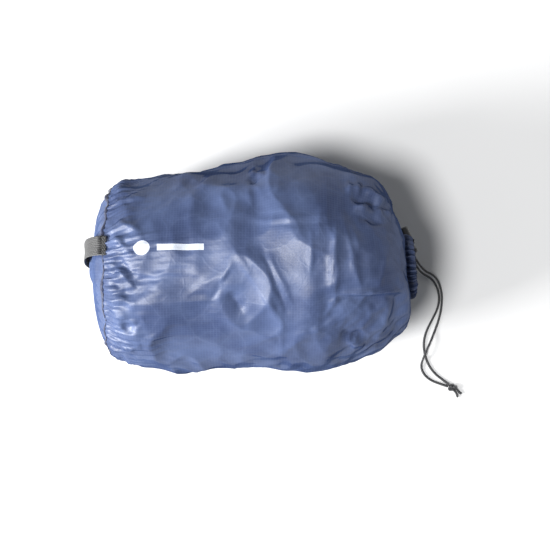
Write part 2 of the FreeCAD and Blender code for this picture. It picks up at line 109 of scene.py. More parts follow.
def surface_tree(data):
    """A tree of a mesh's faces, for finding where its surface lies."""
    mesh = bmesh.new()
    mesh.from_mesh(data)
    tree = BVHTree.FromBMesh(mesh)
    mesh.free()
    return tree


def grid_faces(rows, columns, closed=True):
    """Quads of a grid whose points are numbered row by row; closed joins the last column."""
    faces = []
    last = columns if closed else columns - 1
    for row in range(rows - 1):
        for column in range(last):
            following = (column + 1) % columns
            here = row * columns
            above = (row + 1) * columns
            faces.append((here + column, here + following, above + following, above + column))
    return faces


def set_uv(thing, uv_of_point, wrap=None):
    """Give each face corner its point's UV; wrap is the U length of a closed round."""
    layer = thing.data.uv_layers.new(name="cloth")
    for face in thing.data.polygons:
        corners = [uv_of_point[thing.data.loops[i].vertex_index] for i in face.loop_indices]
        widest = max(c[0] for c in corners)
        for loop, corner in zip(face.loop_indices, corners):
            u, v = corner
            if wrap and widest - u > wrap / 2:
                u += wrap
            layer.data[loop].uv = (u, v)


def vectors_of(collection, name):
    """One vector of each item of a mesh's collection, as an array."""
    flat = np.empty(len(collection) * 3, dtype=np.float32)
    collection.foreach_get(name, flat)
    return flat.reshape(-1, 3).astype(float)


def points_of(thing):
    return vectors_of(thing.data.vertices, "co")


def normals_of(thing):
    return vectors_of(thing.data.vertex_normals, "vector")


def set_points(thing, points):
    thing.data.vertices.foreach_set("co", np.asarray(points, dtype=np.float32).ravel())
    thing.data.update()


def smooth_noise(x, y, z, scale):
    """Smooth noise between about -1 and 1, with features of the given size."""
    return noise.noise(Vector((x / scale, y / scale, z / scale)))


def add_subdivision(thing, levels):
    smoother = thing.modifiers.new("finer", "SUBSURF")
    smoother.levels = levels
    smoother.render_levels = levels


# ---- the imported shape

BODY_TREE = surface_tree(NODES["body_panel"].data)
FAR_OUTSIDE = 0.4


def axis_point(x):
    """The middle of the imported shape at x, from the middle of the base to the mouth's."""
    return BASE_CENTRE.lerp(MOUTH, (x - SEAM_X) / (MOUTH.x - SEAM_X))


def packed_radius(x, angle):
    """The distance from the axis to the CAD cloth's outside, at x and an angle round it."""
    middle = axis_point(x)
    outward = Vector((0, cos(angle), sin(angle)))
    hit = BODY_TREE.ray_cast(middle + outward * FAR_OUTSIDE, -outward, FAR_OUTSIDE)
    if hit[0] is None:
        return HEM_OUTER
    return max(HEM_OUTER * 0.9, (hit[0] - middle).length)


def profile_stations(count):
    """Stations along X from the base seam to the hem's stitching, evenly spaced over the cloth.

    Each has its mean radius, and the last value is the whole run over the cloth.
    """
    margin = 0.0004
    steps = 400
    length = STITCH_X - SEAM_X - 2 * margin
    fine = [SEAM_X + margin + length * n / steps for n in range(steps + 1)]
    angles = [pi * q / 4 for q in range(8)]
    radii = [sum(packed_radius(x, a) for a in angles) / len(angles) for x in fine]
    run = [0.0]
    for n in range(steps):
        run.append(run[-1] + hypot(fine[n + 1] - fine[n], radii[n + 1] - radii[n]))
    wanted = [run[-1] * n / (count - 1) for n in range(count)]
    stations = np.interp(wanted, run, fine)
    means = np.interp(wanted, run, radii)
    return list(stations), list(means), run[-1]


# ---- gathers

BASE_PLEATS = 42
MOUTH_PLEATS = 30
BASE_SEED = 1.3
MOUTH_SEED = 4.1
SEAM_SINK = 0.0024
SEAM_PUCKER = 0.0012


def irregular_wave(angle, count, seed):
    """An uneven pleating wave round the sack, from 0 in the valleys to 1 on the crests."""
    drift = 1.7 * sin(2 * angle + seed) + 1.1 * sin(5 * angle + 2.3 * seed)
    drift += 0.7 * sin(9 * angle + 0.6 * seed)
    crest = 0.5 + 0.5 * sin(count * angle + drift)
    strength = 0.78 + 0.22 * sin(7 * angle + 1.7 * seed) * sin(3 * angle + seed)
    return crest * strength


def base_wave(angle):
    return irregular_wave(angle, BASE_PLEATS, BASE_SEED)


def mouth_wave(angle):
    return irregular_wave(angle, MOUTH_PLEATS, MOUTH_SEED)


def seam_point(angle, lift=0.0):
    """A point of the puckered base seam; lift stands it out from the seam's groove."""
    reach = -SEAM_SINK + SEAM_PUCKER * base_wave(angle) + lift
    ripple = 0.0011 * sin(BASE_PLEATS * 0.5 * angle) + 0.0012 * sin(9 * angle + 0.7)
    y = (BASE_HALF_WIDTH + reach) * cos(angle)
    z = (BASE_HALF_HEIGHT + reach) * sin(angle)
    return BASE_CENTRE + Vector((ripple, y, z))


MOUTH_TILT = 0.075
RIM_RADIUS = HEM_OUTER - 0.0040
PLEAT_DEPTH = 0.0080


def mouth_point(angle, x, reach):
    """A point round the mouth's axis; the mouth's +Y side is drawn back a little."""
    side = reach * cos(angle)
    back = MOUTH_TILT * (side + HEM_OUTER)
    return Vector((x - back, MOUTH.y + side, MOUTH.z + reach * sin(angle)))


def mouth_rim_radius(angle):
    """The radius of the gathered cloth at the hem's stitching."""
    return RIM_RADIUS + PLEAT_DEPTH * (mouth_wave(angle) - 0.5)


# ---- packed load


LOAD_VOXEL = 0.006
LUMP = 0.085
SMALL_LUMP = 0.042
LUMP_DEPTH = 0.0110


def packed_load():
    """The contents: a lumpy soft body that the cloth lies on."""
    load = placed("packed_contents", NODES["packed_load"].data.copy())
    load.data.materials.clear()
    remesh = load.modifiers.new("even", "REMESH")
    remesh.mode = "VOXEL"
    remesh.voxel_size = LOAD_VOXEL
    relax = load.modifiers.new("relax", "SMOOTH")
    relax.factor = 0.6
    relax.iterations = 6
    apply_modifiers(load)
    points = points_of(load)
    normals = normals_of(load)
    for n, (x, y, z) in enumerate(points):
        lump = smooth_noise(x, y + 3.0, z, LUMP) + 0.55 * smooth_noise(x + 7.0, y, z, SMALL_LUMP)
        sink = 0.0008 + LUMP_DEPTH * max(0.0, lump - 0.05)
        near_floor = min(1.0, max(0.0, (z - 0.004) / 0.02))
        points[n] -= normals[n] * sink * near_floor
    set_points(load, points)
    return load


def apply_modifiers(thing):
    """Freeze the modifiers into the mesh."""
    graph = bpy.context.evaluated_depsgraph_get()
    graph.update()
    final = bpy.data.meshes.new_from_object(thing.evaluated_get(graph))
    thing.modifiers.clear()
    thing.data = final
    shade_smooth(final)


# ---- cloth simulation

CLOTH_FRAMES = 16
CLOTH_SETTINGS = {
    "quality": 4,
    "mass": 0.12,
    "air_damping": 6,
    "tension_stiffness": 30,
    "compression_stiffness": 22,
    "shear_stiffness": 8,
    "bending_stiffness": 0.12,
    "tension_damping": 8,
    "compression_damping": 8,
    "shear_damping": 6,
    "bending_damping": 1.0,
    "pin_stiffness": 1.0,
}
CLOTH_GAP = 0.0012


def drape(cloth, rest_points, pinned, obstacles):
    """Relax a cloth, whose own size is rest_points, onto the obstacles."""
    cloth.shape_key_add(name="Basis")
    flat = cloth.shape_key_add(name="flat")
    flat.data.foreach_set("co", np.asarray(rest_points, dtype=np.float32).ravel())
    flat.value = 0.0
    group = cloth.vertex_groups.new(name="sewn")
    group.add(pinned, 1.0, "REPLACE")
    for thing in obstacles:
        thing.modifiers.new("hard", "COLLISION")
        thing.collision.thickness_outer = CLOTH_GAP
        thing.collision.cloth_friction = 6
        thing.collision.damping = 0.6
    sim = cloth.modifiers.new("cloth", "CLOTH")
    settings = sim.settings
    for setting, value in CLOTH_SETTINGS.items():
        setattr(settings, setting, value)
    settings.vertex_group_mass = "sewn"
    settings.rest_shape_key = flat
    settings.effector_weights.gravity = 0.2
    sim.collision_settings.distance_min = CLOTH_GAP
    sim.collision_settings.collision_quality = 2
    sim.collision_settings.use_self_collision = False
    sim.point_cache.frame_start = 1
    sim.point_cache.frame_end = CLOTH_FRAMES
    scene = bpy.context.scene
    for number in range(1, CLOTH_FRAMES + 1):
        scene.frame_set(number)
    graph = bpy.context.evaluated_depsgraph_get()
    settled = bpy.data.meshes.new_from_object(cloth.evaluated_get(graph))
    result = vectors_of(settled.vertices, "co")
    cloth.modifiers.clear()
    cloth.shape_key_clear()
    for thing in obstacles:
        thing.modifiers.clear()
    scene.frame_set(1)
    bpy.data.meshes.remove(settled)
    return result


def limited(moved, start, most):
    """Cap how far each point may move from where it started."""
    step = moved - start
    length = np.linalg.norm(step, axis=1, keepdims=True)
    return start + step * np.minimum(1.0, most / np.maximum(length, 1e-9))


def kept_above_floor(points, lowest):
    points[:, 2] = np.maximum(points[:, 2], lowest)
    return points


# ---- body cloth

# Points round and along the sack, the cloth's girth, and what is folded over as the hem.
ROUND = 240
ALONG = 96
CLOTH_AROUND = 0.735

# How deep the gathers are, and how far they run from the base seam and from the mouth.
BASE_GATHER_DEPTH = 0.0050
BASE_GATHER_SINK = 0.0026
BASE_GATHER_RUN = 0.030
MOUTH_GATHER_RUN = 0.034
SEAM_BLEND = 0.012
RIM_BLEND = 0.016

LOAD_GAP = 0.0050
CLOTH_LIFT = 0.0006
MOST_SETTLING = 0.010
FLOOR_GAP = 0.0003


def mouth_shoulder(angle, run):
    """The cloth's bulge past the mouth on the -Y side."""
    low_side = max(0.0, -cos(angle)) ** 1.2
    near = exp(-((run - 0.021) / 0.016) ** 2)
    broad = exp(-((run - 0.045) / 0.030) ** 2)
    past_mouth = Vector((0.0120, 0.0, 0.0)) * low_side * near
    return past_mouth + Vector((0.003, -0.005, 0.0)) * low_side * broad


def body_start():
    """The body cloth before it settles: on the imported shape, pleated towards both ends."""
    stations, means, length = profile_stations(ALONG)
    points = []
    for row, x in enumerate(stations):
        run = length * row / (ALONG - 1)
        to_base = exp(-run / BASE_GATHER_RUN)
        to_mouth = exp(-(length - run) / MOUTH_GATHER_RUN)
        middle = axis_point(x)
        for angle in angles_round(ROUND):
            outward = Vector((0, cos(angle), sin(angle)))
            reach = packed_radius(x, angle) + CLOTH_LIFT
            reach += to_base * (BASE_GATHER_DEPTH * base_wave(angle) - BASE_GATHER_SINK)
            reach += to_mouth * PLEAT_DEPTH * (mouth_wave(angle) - 0.5)
            if row == 0:
                point = seam_point(angle)
            elif row == ALONG - 1:
                point = mouth_point(angle, x, mouth_rim_radius(angle))
            else:
                point = middle + outward * reach + mouth_shoulder(angle, length - run)
                blend_in = min(1.0, run / SEAM_BLEND)
                point = seam_point(angle).lerp(point, blend_in) if blend_in < 1 else point
                blend_out = min(1.0, (length - run) / RIM_BLEND)
                if blend_out < 1:
                    rim = mouth_point(angle, x, mouth_rim_radius(angle))
                    point = rim.lerp(point, blend_out)
            points.append(point)
    return points, means, length


def body_rest(means, length):
    """The cloth's own size: a tube as wide as the cloth, a little fuller at both gathers."""
    points = []
    for row, mean in enumerate(means):
        run = length * row / (ALONG - 1)
        fuller = 1.025 + 0.22 * exp(-run / 0.034) + 0.85 * exp(-(length - run) / 0.030)
        radius = min(mean * fuller, CLOTH_AROUND / (2 * pi) * 1.02)
        for angle in angles_round(ROUND):
            points.append((run * 1.02, radius * cos(angle), radius * sin(angle)))
    return points


def body_cloth(load):
    """The body's cloth, its grid before it was made finer, and its length.

    It is draped on the load, then crumpled, gathered and folded.
    """
    start, means, length = body_start()
    body = mesh_object("body_cloth", start, grid_faces(ALONG, ROUND))
    uv = []
    for row in range(ALONG):
        for column in range(ROUND):
            uv.append((CLOTH_AROUND * column / ROUND, length * row / (ALONG - 1)))
    set_uv(body, uv, CLOTH_AROUND)
    first = points_of(body)
    pinned = list(range(ROUND)) + list(range((ALONG - 1) * ROUND, ALONG * ROUND))
    settled = drape(body, body_rest(means, length), pinned, [load])
    set_points(body, kept_above_floor(limited(settled, first, MOST_SETTLING), 0.0004))
    coarse = points_of(body)
    add_subdivision(body, 1)
    apply_modifiers(body)
    crumple_cloth(body)
    gather_cloth(body)
    fold_cloth(body)
    set_points(body, kept_above_floor(points_of(body), FLOOR_GAP))
    return body, coarse, length


def pinned_share(points):
    """0 at the sewn base seam and at the hem's stitching, 1 away from both."""
    from_base = np.clip((points[:, 0] - SEAM_X - 0.002) / 0.010, 0.0, 1.0)
    radius = np.hypot(points[:, 1] - MOUTH.y, points[:, 2] - MOUTH.z)
    from_mouth = np.where(points[:, 0] > MOUTH.x - 0.03, (radius - 0.034) / 0.012, 1.0)
    return from_base * np.clip(from_mouth, 0.0, 1.0)


def tuck_inside(load, body):
    """Keep the contents a little inside the finished cloth."""
    tree = surface_tree(body.data)
    points = points_of(load)
    for _ in range(2):
        for n, place in enumerate(points):
            if place[0] > MOUTH.x - 0.008:
                continue
            hit, normal, _, _ = tree.find_nearest(Vector(place))
            if (Vector(place) - hit).dot(normal) > -LOAD_GAP:
                points[n] = hit - normal * LOAD_GAP
    set_points(load, points)


# Places on top where the cloth is pulled nearly flat: x, y and radius in millimetres.
FLAT_PATCHES = [(124, -60, 44), (-92, 58, 34), (-62, -52, 34), (60, 70, 26)]


def crumple_cloth(body):
    """Flat patches with sharp edges between them, as packed nylon lies over soft contents."""
    points = points_of(body)
    normals = normals_of(body)
    push = np.zeros(len(points))
    slack = np.ones(len(points))
    for x, y, radius in FLAT_PATCHES:
        away = np.hypot(points[:, 0] - x * MM, points[:, 1] - y * MM) / (radius * MM)
        slack -= 0.8 * np.exp(-away ** 4) * np.clip(normals[:, 2] * 4, 0.0, 1.0)
    slack = np.clip(slack, 0.1, 1.0)
    for n, (x, y, z) in enumerate(points):
        warp = 0.018 * smooth_noise(x, y + 1.0, z, 0.06)
        broad = smooth_noise(x * 1.35 + warp, y + warp, z, 0.075)
        small = smooth_noise(x * 1.2 + 4.0 + warp, y - warp, z + 2.0, 0.036)
        push[n] = 0.0072 * (0.33 - abs(broad) * 1.5) + 0.0034 * (0.3 - abs(small) * 1.4)
    push = np.clip(push, -0.0065, 0.0036) * pinned_share(points) * slack
    set_points(body, points + normals * push[:, None])


def gather_cloth(body):
    """Small hard gathers running away from the base seam, each its own length."""
    points = points_of(body)
    normals = normals_of(body)
    angle = np.arctan2(points[:, 2] - BASE_CENTRE.z, points[:, 1] - BASE_CENTRE.y)
    run = np.maximum(points[:, 0] - SEAM_X, 0.0)
    length = 0.013 + 0.011 * (0.5 + 0.5 * np.sin(5 * angle + 1.0)) * (1 + np.sin(11 * angle))
    phase = 34 * angle + 1.9 * np.sin(3 * angle) + 1.3 * np.sin(8 * angle + 1.0) + run * 40
    crest = 1.0 - np.abs(np.sin(phase)) ** 0.8 * 1.7
    second = 1.0 - np.abs(np.sin(2.37 * phase + 1.0 + run * 60)) * 1.6
    fade = np.exp(-run / length) * np.clip(run / 0.004, 0.0, 1.0)
    push = (0.0028 * crest + 0.0012 * second) * fade
    set_points(body, points + normals * push[:, None])


# ---- folds that show on top

# Each fold: start x, y, end x, y, width, height, all in millimetres, seen from above.
FOLDS = [
    (-23, 21, 36, -72, 5, 1.3),
    (11, 12, 37, -52, 4, -1.6),
    (17, 8, 44, -48, 4, 1.2),
    (36, -72, -22, -92, 5, 1.0),
    (30, -45, 31, -98, 3, 0.8),
    (61, 35, 60, -15, 4, 1.3),
    (87, 44, 80, -31, 5, 1.8),
    (92, 52, 112, -28, 5, 1.6),
    (5, 43, 76, 49, 4, 0.8),
    (12, 38, 80, 41, 4, -0.8),
    (88, -32, 160, -29, 5, 4.6),
    (88, -38, 160, -37, 9, -4.0),
    (88, -32, 76, -55, 4, 1.4),
    (130, -29, 141, 14, 5, 1.2),
    (97, 78, 115, 79, 8, 4.8),
    (115, 79, 143, 64, 6, 5.4),
    (104, 69, 142, 56, 7, -5.0),
    (106, 58, 127, 60, 6, 4.2),
    (127, 60, 148, 52, 6, 4.0),
    (112, 48, 140, 42, 7, -3.4),
    (-3, 96, 14, 92, 6, 2.4),
    (-2, 90, 3, 84, 5, -3.0),
    (20, -102, 60, -72, 8, 2.0),
    (60, -72, 92, -58, 7, 1.6),
    (100, -82, 118, -86, 7, 4.6),
    (92, -74, 122, -78, 8, -3.6),
    (-70, -36, -33, -12, 6, 1.0),
    (-45, -42, -20, -8, 7, -2.0),
    (-22, -30, -8, -52, 8, -2.4),
    (-141, -2, -119, -28, 9, 4.0),
    (-143, 4, -117, -14, 6, -3.4),
    (-143, -34, -118, -44, 7, 2.6),
    (-142, -52, -112, -66, 8, 2.6),
    (-137, -70, -112, -62, 8, -4.0),
    (-138, -92, -116, -86, 7, 3.0),
    (-143, 28, -122, 6, 5, 2.2),
    (-142, 44, -116, 33, 6, 2.0),
    (-139, 66, -112, 70, 6, 2.2),
    (-110, 88, -60, 100, 9, 1.6),
]


def fold_cloth(body):
    """Raise and sink the long creases that a hand and the load leave on the top side."""
    points = points_of(body)
    normals = normals_of(body)
    push = np.zeros(len(points))
    facing = np.clip((normals[:, 2] - 0.05) / 0.3, 0.0, 1.0)
    for x0, y0, x1, y1, width, height in FOLDS:
        start = np.array((x0, y0)) * MM
        along = np.array((x1 - x0, y1 - y0)) * MM
        length = np.linalg.norm(along)
        share = ((points[:, :2] - start) @ along) / length ** 2
        share = np.clip(share, 0.0, 1.0)
        nearest = start + share[:, None] * along
        wander = 0.0012 * np.sin(share * 11.0 + x0)
        away = np.abs(np.linalg.norm(points[:, :2] - nearest, axis=1) + wander)
        taper = np.clip(4 * share * (1 - share) + 0.25, 0.0, 1.0)
        profile = np.exp(-((away / (width * MM * 0.62)) ** 1.5).clip(0, 40))
        outside = np.where((share <= 0.0) | (share >= 1.0), 0.55, 1.0)
        push += height * MM * taper * profile * outside * facing
    set_points(body, points + normals * push[:, None])


# ---- base cloth

BASE_RINGS = 40
BASE_FLAT_RADIUS = 0.1035
BASE_SWELL = 0.0045
BASE_PUCKER = 0.016
BASE_MOST_SETTLING = 0.006
BASE_MOST_BULGE = BASE_BULGE + 0.0050


def base_cloth(load):
    """The round base panel, pushed out by the load and puckered at its seam."""
    start = []
    rest = []
    uv = []
    for ring in range(1, BASE_RINGS + 1):
        share = ring / BASE_RINGS
        # the dome's rings are spread evenly over its curve
        height = 0
        if ring < BASE_RINGS:
            height = (BASE_BULGE + BASE_SWELL) * cos(share * pi / 2) ** 0.9
        spread = sin(share * pi / 2) ** 0.92
        for angle in angles_round(ROUND):
            rim = seam_point(angle)
            wave = base_wave(angle) * exp(-(1 - share) / 0.13) * (1 - share) * BASE_PUCKER
            x = SEAM_X - height - wave + (rim.x - SEAM_X) * share ** 6
            y = BASE_CENTRE.y + (rim.y - BASE_CENTRE.y) * spread
            z = BASE_CENTRE.z + (rim.z - BASE_CENTRE.z) * spread
            start.append(Vector((x, y, z)))
            radius = BASE_FLAT_RADIUS * share
            rest.append((0, radius * cos(angle), radius * sin(angle)))
            uv.append((rest[-1][1], rest[-1][2]))
    tip = len(start)
    start.append(Vector((SEAM_X - BASE_BULGE, BASE_CENTRE.y, BASE_CENTRE.z)))
    rest.append((0, 0, 0))
    uv.append((0, 0))
    faces = [tuple(reversed(face)) for face in grid_faces(BASE_RINGS, ROUND)]
    for column in range(ROUND):
        faces.append((tip, (column + 1) % ROUND, column))
    base = mesh_object("base_cloth", start, faces)
    set_uv(base, uv)
    first = points_of(base)
    rim_points = list(range((BASE_RINGS - 1) * ROUND, BASE_RINGS * ROUND))
    settled = drape(base, rest, rim_points, [load])
    capped = limited(settled, first, BASE_MOST_SETTLING)
    capped[:, 0] = np.maximum(capped[:, 0], SEAM_X - BASE_MOST_BULGE)
    set_points(base, capped)
    return base


# ---- hem round the mouth

HEM_ROUND = ROUND * 2

# The hem's section: distance along X from the stitching, and out from the stitched rim.
HEM_SECTION = [
    (-0.0022, 0.0012),
    (0.0000, 0.0004),
    (0.0030, 0.0022),
    (0.0064, 0.0024),
    (0.0094, 0.0010),
    (0.0112, -0.0018),
    (0.0110, -0.0056),
    (0.0084, -0.0088),
    (0.0044, -0.0104),
    (0.0008, -0.0100),
]


def hem_cloth():
    """The folded hem that the cord runs in, gathered into uneven pleats."""
    points = []
    uv = []
    for row, (along, out) in enumerate(HEM_SECTION):
        for column, angle in enumerate(angles_round(HEM_ROUND)):
            crest = mouth_wave(angle)
            lean = 0.028 * sin(2 * pi * crest) + 0.04 * sin(2 * angle) * row / 10
            ragged = 0.0013 * smooth_noise(6 * cos(angle), 6 * sin(angle), row * 0.1, 0.5)
            reach = mouth_rim_radius(angle) + out
            uneven = min(1.0, max(0.0, (row - 1) / 3))
            x = STITCH_X + along + ragged * uneven
            points.append(mouth_point(angle + lean * uneven, x, reach + ragged))
            uv.append((CLOTH_AROUND * column / HEM_ROUND, row * 0.0042))
    hem = mesh_object("hem_cloth", points, grid_faces(len(HEM_SECTION), HEM_ROUND))
    set_uv(hem, uv, CLOTH_AROUND)
    return hem


def cord_in_hem():
    """The part of the drawcord that runs round inside the hem."""
    line = []
    for angle in angles_round(120) + [2 * pi]:
        line.append(mouth_point(angle, HEM_X - 0.0005, RIM_RADIUS - 0.0052))
    return braided_tube("drawcord_in_hem", line, CORD_DIAMETER, False, 12)


# ---- narrow strips and stitches


class Surface:
    """The finished body cloth, for laying narrow things on it."""

    def __init__(self, thing, coarse):
        self.tree = surface_tree(thing.data)
        self.coarse = coarse

    def point(self, row, column, lift):
        """The cloth at a place of its grid, lifted off along its normal."""
        low = int(column)
        first = Vector(self.coarse[int(row) * ROUND + low % ROUND])
        second = Vector(self.coarse[int(row) * ROUND + (low + 1) % ROUND])
        place, normal, _, _ = self.tree.find_nearest(first.lerp(second, column - low))
        return place + normal * lift, normal


def side_seam(surface):
    """The felled seam along the +Y flank: a doubled strip with a folded edge."""
    # its section: places in the cloth's grid, and lifts off the cloth
    columns = (3.7, 4.0, 4.4, 5.3, 6.2, 6.6, 6.9)
    lifts = (0.0000, 0.0005, 0.0007, 0.0004, 0.0007, 0.0005, 0.0000)
    points = []
    uv = []
    rows = range(1, ALONG - 2)
    for row in rows:
        for column, lift in zip(columns, lifts):
            place, _ = surface.point(row, column, lift)
            points.append(place)
            uv.append((column * 0.0027, row * 0.0031))
    faces = grid_faces(len(rows), len(columns), closed=False)
    strip = mesh_object("side_seam_felled", points, faces)
    set_uv(strip, uv)
    return strip


def lozenge(points, faces, start, end, up, half_width, half_height):
    """Add one stitch: a six-sided spindle from start to end, lying on the cloth."""
    along = (end - start).normalized()
    across = along.cross(up).normalized()
    rise = across.cross(along).normalized()
    first = len(points)
    for share, size in ((0.0, 0.35), (0.25, 1.0), (0.75, 1.0), (1.0, 0.35)):
        middle = start.lerp(end, share)
        for side in range(6):
            turn = pi * side / 3
            sideways = across * (half_width * size * cos(turn))
            points.append(middle + sideways + rise * (half_height * size * sin(turn)))
    for ring in range(3):
        for side in range(6):
            here = first + ring * 6
            following = (side + 1) % 6
            faces.append((here + side, here + following, here + 6 + following, here + 6 + side))
    faces.append(tuple(first + side for side in reversed(range(6))))
    faces.append(tuple(first + 18 + side for side in range(6)))


STITCH_LIFT = 0.0005
STITCH_HALF = 0.0004


def base_stitching(surface):
    """Short thick stitches round the base seam, on the body's puckers."""
    points = []
    faces = []
    step = 2.5
    stitch_share = 0.62
    for number in range(int(ROUND / step)):
        column = number * step
        start, up = surface.point(1, column, STITCH_LIFT)
        end, _ = surface.point(1, column + step * stitch_share, STITCH_LIFT)
        lozenge(points, faces, start, end, up, 0.0005, 0.00045)
    return mesh_object("base_seam_stitches", points, faces)


def hem_stitching(hem_points):
    """One row of stitches where the hem is sewn down."""
    points = []
    faces = []
    step = 4
    for number in range(HEM_ROUND // step):
        column = number * step
        start = hem_points[column + HEM_ROUND]
        end = hem_points[(column + 2) % HEM_ROUND + HEM_ROUND]
        middle = Vector((start.x, MOUTH.y, MOUTH.z))
        up = (start - middle).normalized()
        lift = up * STITCH_LIFT
        lozenge(points, faces, start + lift, end + lift, up, STITCH_HALF, STITCH_HALF)
    return mesh_object("hem_stitches", points, faces)


def seam_tape():
    """The dark bound edge lying in the groove between the base and the body."""
    step = 0.0012
    points = []
    section = ((-0.0022, -0.0016), (-0.0020, 0.0000), (-0.0008, 0.0012), (0.0008, 0.0012),
               (0.0020, 0.0000), (0.0022, -0.0016))
    for along, lift in section:
        for angle in angles_round(HEM_ROUND):
            wobble = 0.0006 * sin(23 * angle)
            points.append(seam_point(angle, lift) + Vector((along + wobble, 0, 0)))
    tape = mesh_object("base_seam_tape", points, grid_faces(len(section), HEM_ROUND))
    uv = [(step * (n % HEM_ROUND), 0.002 * (n // HEM_ROUND)) for n in range(len(points))]
    set_uv(tape, uv, step * HEM_ROUND)
    return tape


# ---- webbing handle

WEB_TILT = radians(6.7)
WEB_WIDTH = 0.020
WEB_THICK = 0.0016
WEB_REACH = SEAM_X - HANDLE_LOW[0] - WEB_THICK / 2
WEB_HALF_SPAN = 0.0918
HANDLE_MIDDLE_Y = (HANDLE_LOW[1] + HANDLE_HIGH[1]) / 2
HANDLE_MIDDLE_Z = (HANDLE_LOW[2] + HANDLE_HIGH[2]) / 2
WEB_MIDDLE = Vector((SEAM_X, HANDLE_MIDDLE_Y, HANDLE_MIDDLE_Z))
WEB_UP = Vector((0, sin(WEB_TILT), cos(WEB_TILT)))
WEB_ACROSS = Vector((0, cos(WEB_TILT), -sin(WEB_TILT)))


def webbing_half(name, side):
    """Half of the strap, from its middle to the end sewn into the base seam."""
    rows = 150
    ridges = 11
    columns = ridges * 4 + 1
    points = []
    uv = []
    for face_side in (1, -1):
        run = 0.0
        last = None
        for row in range(rows):
            share = row / (rows - 1)
            turn = share * (pi / 2 + 0.10)
            along = side * WEB_HALF_SPAN * sin(turn)
            reach = -WEB_REACH * cos(turn)
            slope = Vector((WEB_REACH * sin(turn), 0, 0))
            slope += WEB_UP * (side * WEB_HALF_SPAN * cos(turn))
            outward = slope.normalized().cross(WEB_ACROSS) * -side
            middle = WEB_MIDDLE + WEB_UP * along + Vector((reach, 0, 0))
            if last is not None:
                run += (middle - last).length
            last = middle
            sag = 0.0008 * sin(run * 55) * sin(pi * share)
            for column in range(columns):
                across = column / (columns - 1) - 0.5
                rib = 0.00024 * cos(2 * pi * ridges * (across + 0.5))
                knot = 0.00018 * sin(run * 2 * pi / 0.0022 + pi * round(across * ridges))
                edge = max(0.0, 1.0 - (abs(across) / 0.5) ** 12)
                cup = 0.0009 * (1 - (2 * across) ** 2)
                height = face_side * (WEB_THICK / 2 - 0.0003 - rib + knot) * edge + cup
                points.append(middle + WEB_ACROSS * (across * WEB_WIDTH) + outward * (height + sag))
                uv.append((across * WEB_WIDTH, run * side))
    sheet = rows * columns
    faces = grid_faces(rows, columns, closed=False)
    under = [tuple(sheet + n for n in reversed(face)) for face in faces]
    sides = []
    for row in range(rows - 1):
        for column in (0, columns - 1):
            a = row * columns + column
            b = a + columns
            quad = (a, b, sheet + b, sheet + a)
            sides.append(quad if column else tuple(reversed(quad)))
    strap = mesh_object(name, points, faces + under + sides)
    set_uv(strap, uv)
    tidy_normals(strap)
    return strap


def tidy_normals(thing):
    """Turn every face outwards."""
    mesh = bmesh.new()
    mesh.from_mesh(thing.data)
    bmesh.ops.recalc_face_normals(mesh, faces=mesh.faces)
    mesh.to_mesh(thing.data)
    mesh.free()


def handle_tacks():
    """Bar tacks that hold each strap end in the base seam."""
    points = []
    faces = []
    for side in (1, -1):
        for number in range(9):
            across = (number / 8 - 0.5) * (WEB_WIDTH - 0.003)
            place = WEB_MIDDLE + WEB_UP * (side * (WEB_HALF_SPAN + 0.0012)) + WEB_ACROSS * across
            start = place + Vector((-0.0062, 0, 0))
            end = place + Vector((-0.0018, 0, 0))
            lozenge(points, faces, start, end, WEB_UP * side, 0.0007, 0.0005)
    return mesh_object("strap_bar_tacks", points, faces)


# ---- drawcord

CORD_DIAMETER = 0.0025

# The outer strand: out of the hem, through the lock, down in front of the mouth to the
# floor, over the other strand and on to the knot.
OUTER_ROUTE = [
    (0.173309, 0.028124, 0.0920),
    (0.173309, 0.028124, 0.0600),
    (0.173309, 0.028124, 0.0440),
    (0.1946, -0.0065, 0.0170),
    (0.2130, -0.0135, 0.0045),
    (0.2205, -0.0320, 0.0015),
    (0.2202, -0.0500, 0.0015),
    (0.2168, -0.0655, 0.0015),
    (0.2115, -0.0800, 0.0015),
    (0.2062, -0.0920, 0.0062),
    (0.2020, -0.1005, 0.0076),
    (0.1980, -0.1100, 0.0074),
    (0.1953, -0.1200, 0.0019),
    (0.1982, -0.1290, 0.0015),
    (0.2055, -0.1360, 0.0015),
    (0.2155, -0.1405, 0.0015),
    (0.2276, -0.1443, 0.0032),
]

# The inner strand: the same way down, then under the other strand to the knot.
INNER_ROUTE = [
    (0.170691, 0.026876, 0.0920),
    (0.170691, 0.026876, 0.0600),
    (0.170691, 0.026876, 0.0440),
    (0.1914, -0.0090, 0.0165),
    (0.2092, -0.0170, 0.0040),
    (0.2172, -0.0330, 0.0015),
    (0.2168, -0.0495, 0.0015),
    (0.2086, -0.0660, 0.0015),
    (0.2018, -0.0790, 0.0015),
    (0.1986, -0.0920, 0.0015),
    (0.1994, -0.1040, 0.0015),
    (0.2024, -0.1140, 0.0015),
    (0.2072, -0.1235, 0.0015),
    (0.2142, -0.1312, 0.0015),
    (0.2216, -0.1366, 0.0016),
    (0.2286, -0.1422, 0.0032),
]

KNOT_MIDDLE = Vector((0.2320, -0.1456, 0.0043))
KNOT_ALONG = Vector((0.7, -0.63, 0.0)).normalized()


def route_curve(name, route):
    """A smooth line led by the route's points."""
    data = bpy.data.curves.new(name, "CURVE")
    data.dimensions = "3D"
    data.resolution_u = 10
    line = data.splines.new("NURBS")
    line.points.add(len(route) - 1)
    for point, place in zip(line.points, route):
        point.co = (*place, 1.0)
    line.order_u = 3
    line.use_endpoint_u = True
    return placed(name, data)


def line_points(curve):
    """The line's points, read from the curve itself."""
    graph = bpy.context.evaluated_depsgraph_get()
    graph.update()
    mesh = bpy.data.meshes.new_from_object(curve.evaluated_get(graph))
    points = [v.co.copy() for v in mesh.vertices]
    bpy.data.meshes.remove(mesh)
    return points


